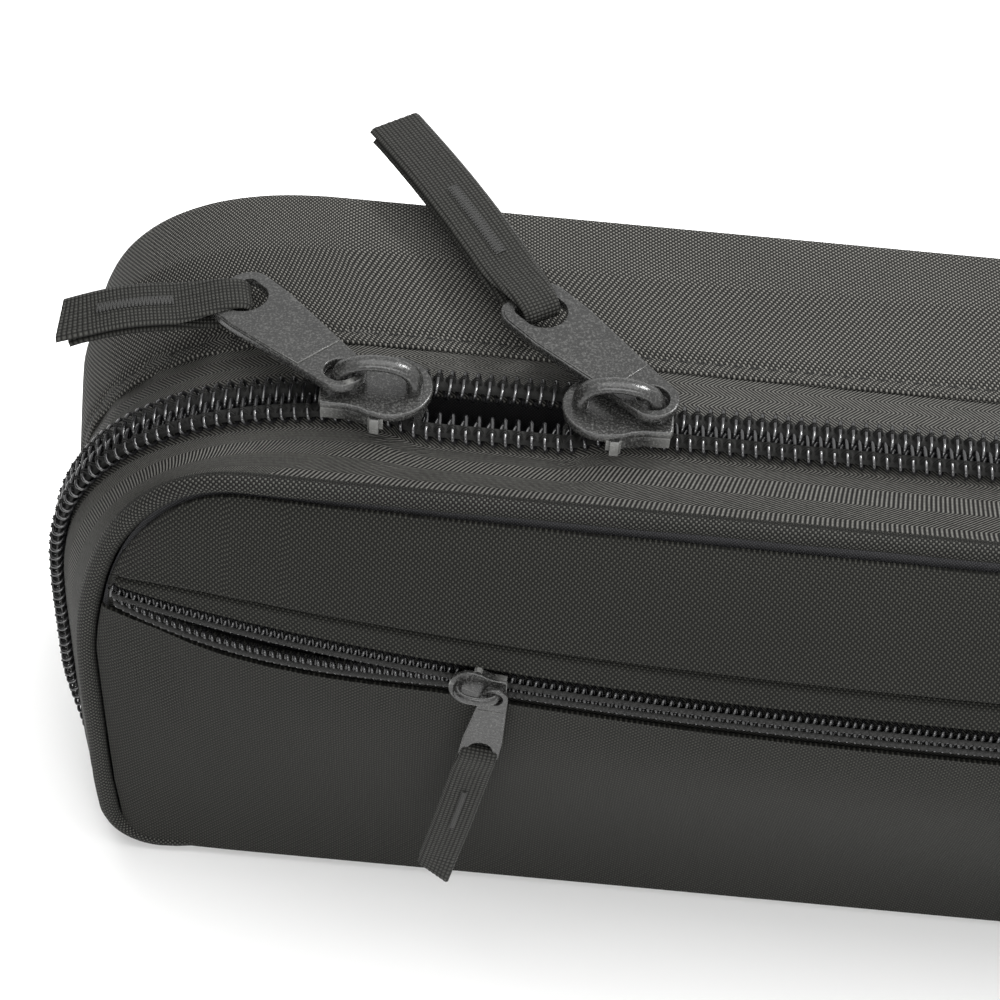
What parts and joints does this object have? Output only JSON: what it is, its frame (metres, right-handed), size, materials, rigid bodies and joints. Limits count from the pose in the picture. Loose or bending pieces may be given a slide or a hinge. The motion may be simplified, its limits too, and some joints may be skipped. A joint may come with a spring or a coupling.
{
  "type": "drum stick bag",
  "caption": "Slim zip-around fabric case for drum sticks that stands on its spine, with a fold-down cover, an outer zip pocket, double main sliders and webbing pulls.",
  "frame": {"origin": "centre of the spine panel's flat underside", "axes": "+X along the bag towards its right end as seen from the pocket side, +Y from the pocket side to the back, +Z from the spine up to the zipper"},
  "size_m": [0.4532, 0.0982, 0.1187],
  "materials": {
    "cover_fabric": "woven polyester, coated back",
    "gusset_fabric": "basket-weave polyester",
    "zipper_tape": "herringbone zipper tape",
    "zipper_coil": "monofilament coil with sewing thread",
    "lining": "plain woven lining",
    "foam": "closed-cell foam padding",
    "board": "stiffening board",
    "slider_metal": "matt black powder coat",
    "webbing": "ribbed webbing"
  },
  "bodies": {
    "rear_shell": {"rear_gusset": "gusset_fabric", "rear_gusset_foam": "foam", "rear_gusset_lining": "lining", "rear_panel": "cover_fabric", "rear_panel_foam": "foam", "rear_panel_lining": "lining", "rear_zipper_tape": "zipper_tape", "rear_zipper_coil": "zipper_coil", "spine_panel": "cover_fabric", "spine_board": "board", "spine_lining": "lining", "stick_pocket_panel": "lining", "stick_pocket_binding": "zipper_tape"},
    "front_cover": {"front_upper_panel": "cover_fabric", "front_pocket_panel": "cover_fabric", "front_backing_panel": "lining", "front_foam": "foam", "front_lining": "lining", "front_piping_cover": "cover_fabric", "front_piping_cord": "foam", "front_zipper_tape": "zipper_tape", "front_zipper_coil": "zipper_coil", "pocket_zipper_upper_tape": "zipper_tape", "pocket_zipper_lower_tape": "zipper_tape", "pocket_zipper_upper_coil": "zipper_coil", "pocket_zipper_lower_coil": "zipper_coil"},
    "left_slider": {"left_slider_body": "slider_metal"},
    "left_puller": {"left_puller": "slider_metal"},
    "left_strap": {"left_pull_strap": "webbing"},
    "right_slider": {"right_slider_body": "slider_metal"},
    "right_puller": {"right_puller": "slider_metal"},
    "right_strap": {"right_pull_strap": "webbing"},
    "pocket_slider": {"pocket_slider_body": "slider_metal"},
    "pocket_puller": {"pocket_puller": "slider_metal"},
    "pocket_strap": {"pocket_pull_strap": "webbing"}
  },
  "joints": [
    {"name": "cover_hinge", "type": "hinge", "parent": "rear_shell", "child": "front_cover", "pos_m": [0, -0.03175, 0.0008], "axis": [1, 0, 0], "range_deg": [0, 175]},
    {"name": "left_slide", "type": "slide", "parent": "rear_shell", "child": "left_slider", "axis": [1, 0, 0], "range_m": [0, 0.0195]},
    {"name": "left_puller_flip", "type": "hinge", "parent": "left_slider", "child": "left_puller", "pos_m": [-0.1707, -0.01725, 0.1121], "axis": [0, 1, 0], "range_deg": [0, 90]},
    {"name": "left_strap_lift", "type": "hinge", "parent": "left_puller", "child": "left_strap", "pos_m": [-0.1997, 0.00059, 0.11025], "axis": [-0.1725, 0.985, 0], "range_deg": [0, 80]},
    {"name": "right_slide", "type": "slide", "parent": "rear_shell", "child": "right_slider", "axis": [1, 0, 0], "range_m": [-0.0195, 0.28]},
    {"name": "right_puller_swivel", "type": "hinge", "parent": "right_slider", "child": "right_puller", "pos_m": [-0.1263, -0.01725, 0.11453], "axis": [0, 0, 1], "range_deg": [-115, 5]},
    {"name": "right_strap_lift", "type": "hinge", "parent": "right_puller", "child": "right_strap", "pos_m": [-0.14827, 0.00517, 0.11422], "axis": [0.8352, 0.5499, 0], "range_deg": [0, 80]},
    {"name": "pocket_slide", "type": "hinge", "parent": "front_cover", "child": "pocket_slider", "pos_m": [0, 2.69775, 0.075], "axis": [0, 0, 1], "range_deg": [0, 6.2]},
    {"name": "pocket_puller_swing", "type": "hinge", "parent": "pocket_slider", "child": "pocket_puller", "pos_m": [-0.14741, -0.04929, 0.07566], "axis": [0.0024, -0.9998, 0.0197], "range_deg": [-25, 60]},
    {"name": "pocket_strap_lift", "type": "hinge", "parent": "pocket_puller", "child": "pocket_strap", "pos_m": [-0.14908, -0.04957, 0.06172], "axis": [-0.9874, 0, 0.158], "range_deg": [0, 80]}
  ]
}
